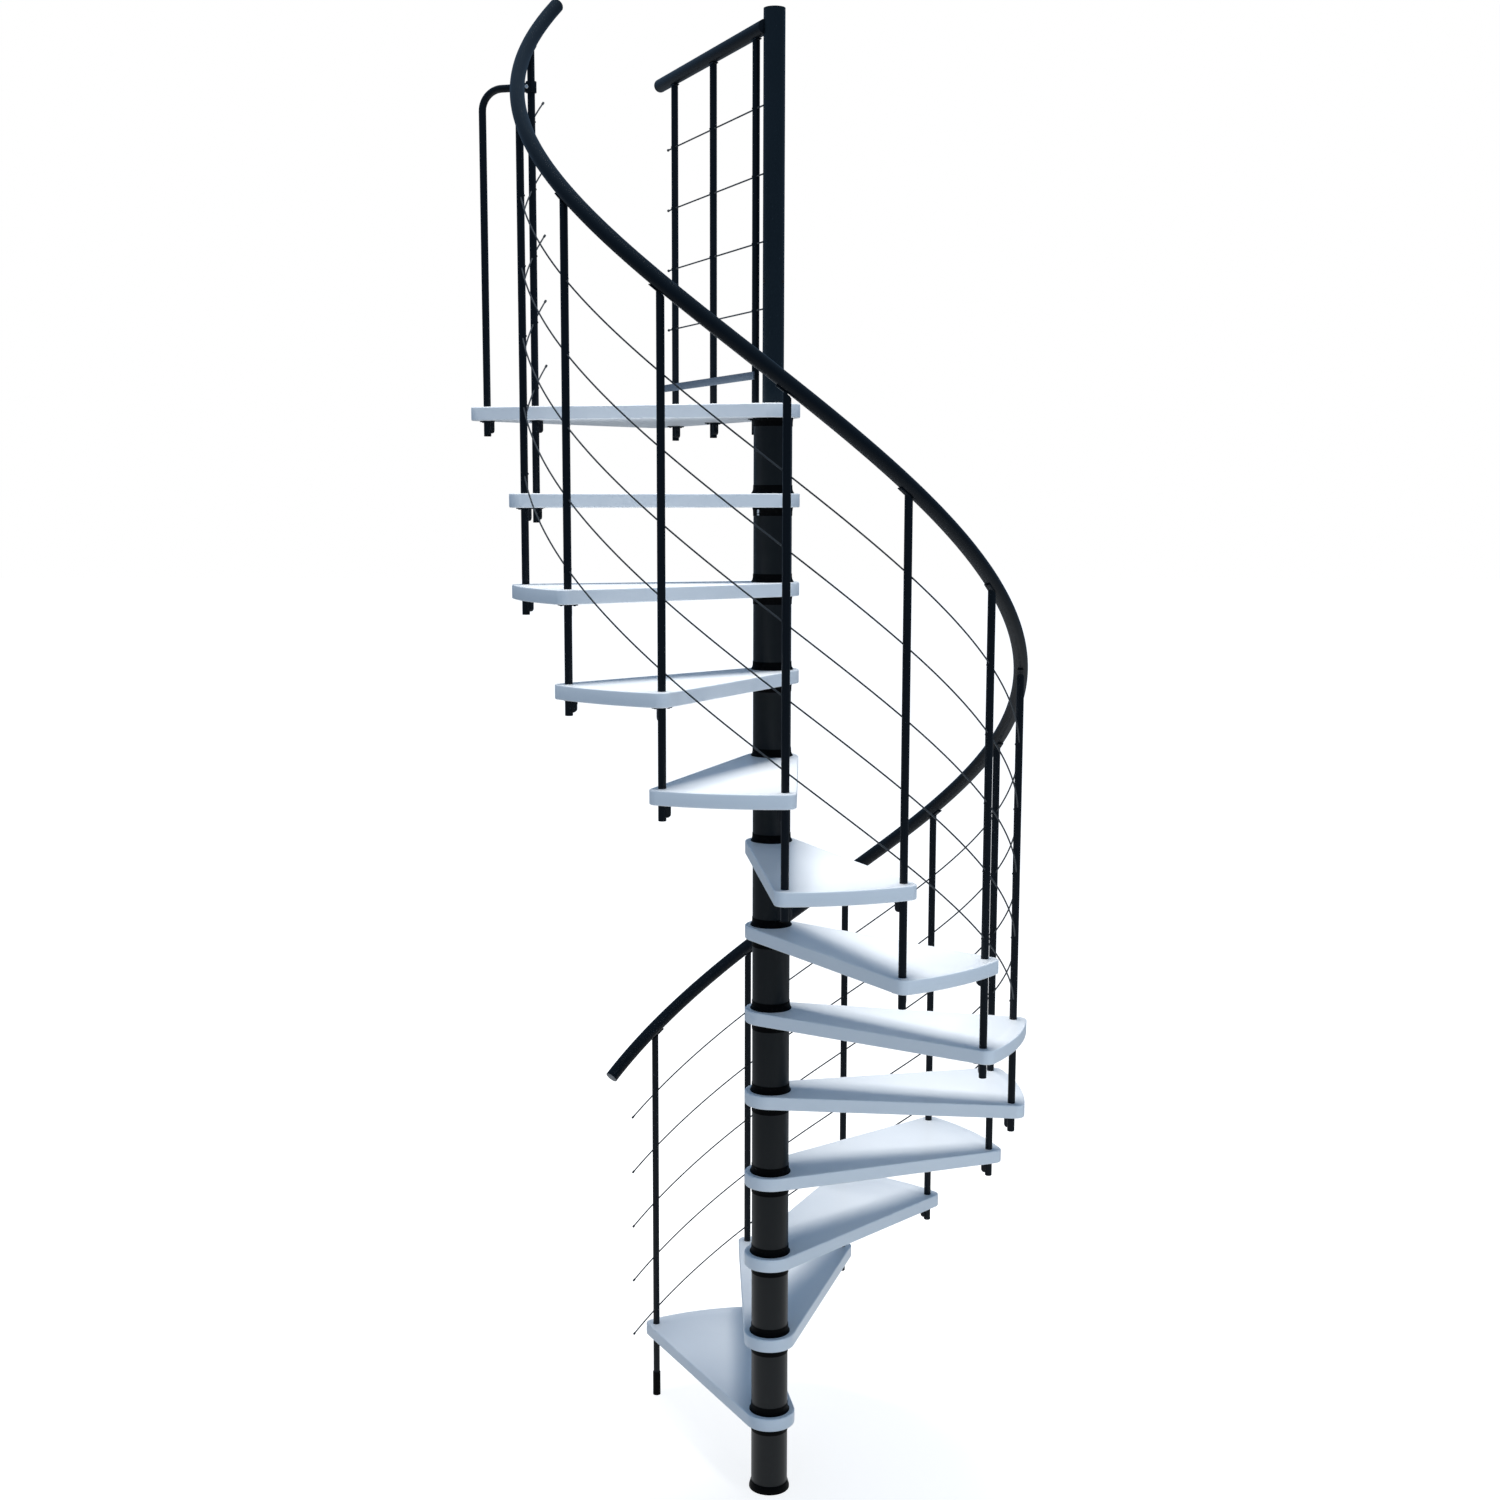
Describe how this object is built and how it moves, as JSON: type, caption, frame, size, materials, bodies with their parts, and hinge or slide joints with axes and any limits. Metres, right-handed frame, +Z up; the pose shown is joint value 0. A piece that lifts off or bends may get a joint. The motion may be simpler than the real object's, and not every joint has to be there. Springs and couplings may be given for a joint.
{
  "type": "spiral staircase",
  "caption": "Spiral staircase: white wedge treads on a black centre pole, a wedge landing platform, and a black balustrade with a helical handrail and cables.",
  "frame": {"origin": "centre of the base collar's underside, on the floor", "axes": "+Z up along the centre pole. The first tread lies towards +Y. The flight climbs clockwise seen from above, past +X and -Y to -X, and the landing platform lies between -X and +Y."},
  "size_m": [1.53, 1.4673, 4.1559],
  "materials": {
    "pole_steel": "satin black powder coat",
    "rail_steel": "satin black powder coat",
    "lacquer": "white lacquer, satin",
    "cable": "stranded steel wire",
    "strip": "satin",
    "collar": "black",
    "end_plug": "matt grey"
  },
  "bodies": {
    "root": {"base_collar": "collar", "centre_pole": "pole_steel", "pole_cap": "pole_steel", "spacer_tubes": "pole_steel", "spacer_collars": "collar", "tread_01": "lacquer", "tread_02": "lacquer", "tread_03": "lacquer", "tread_04": "lacquer", "tread_05": "lacquer", "tread_06": "lacquer", "tread_07": "lacquer", "tread_08": "lacquer", "tread_09": "lacquer", "tread_10": "lacquer", "tread_11": "lacquer", "tread_12": "lacquer", "platform": "lacquer", "flight_balusters": "rail_steel", "floor_sleeve": "collar", "tread_clamps": "rail_steel", "platform_clamps": "rail_steel", "handrail": "rail_steel", "handrail_plugs": "end_plug", "handrail_saddles": "rail_steel", "flight_cable_1": "cable", "flight_cable_2": "cable", "flight_cable_3": "cable", "flight_cable_4": "cable", "flight_cable_5": "cable", "closing_tube": "rail_steel", "closing_clamp": "rail_steel", "guard_balusters": "rail_steel", "guard_handrail": "rail_steel", "guard_saddles": "rail_steel", "guard_cables": "cable", "toe_bar": "strip"}
  },
  "joints": []
}
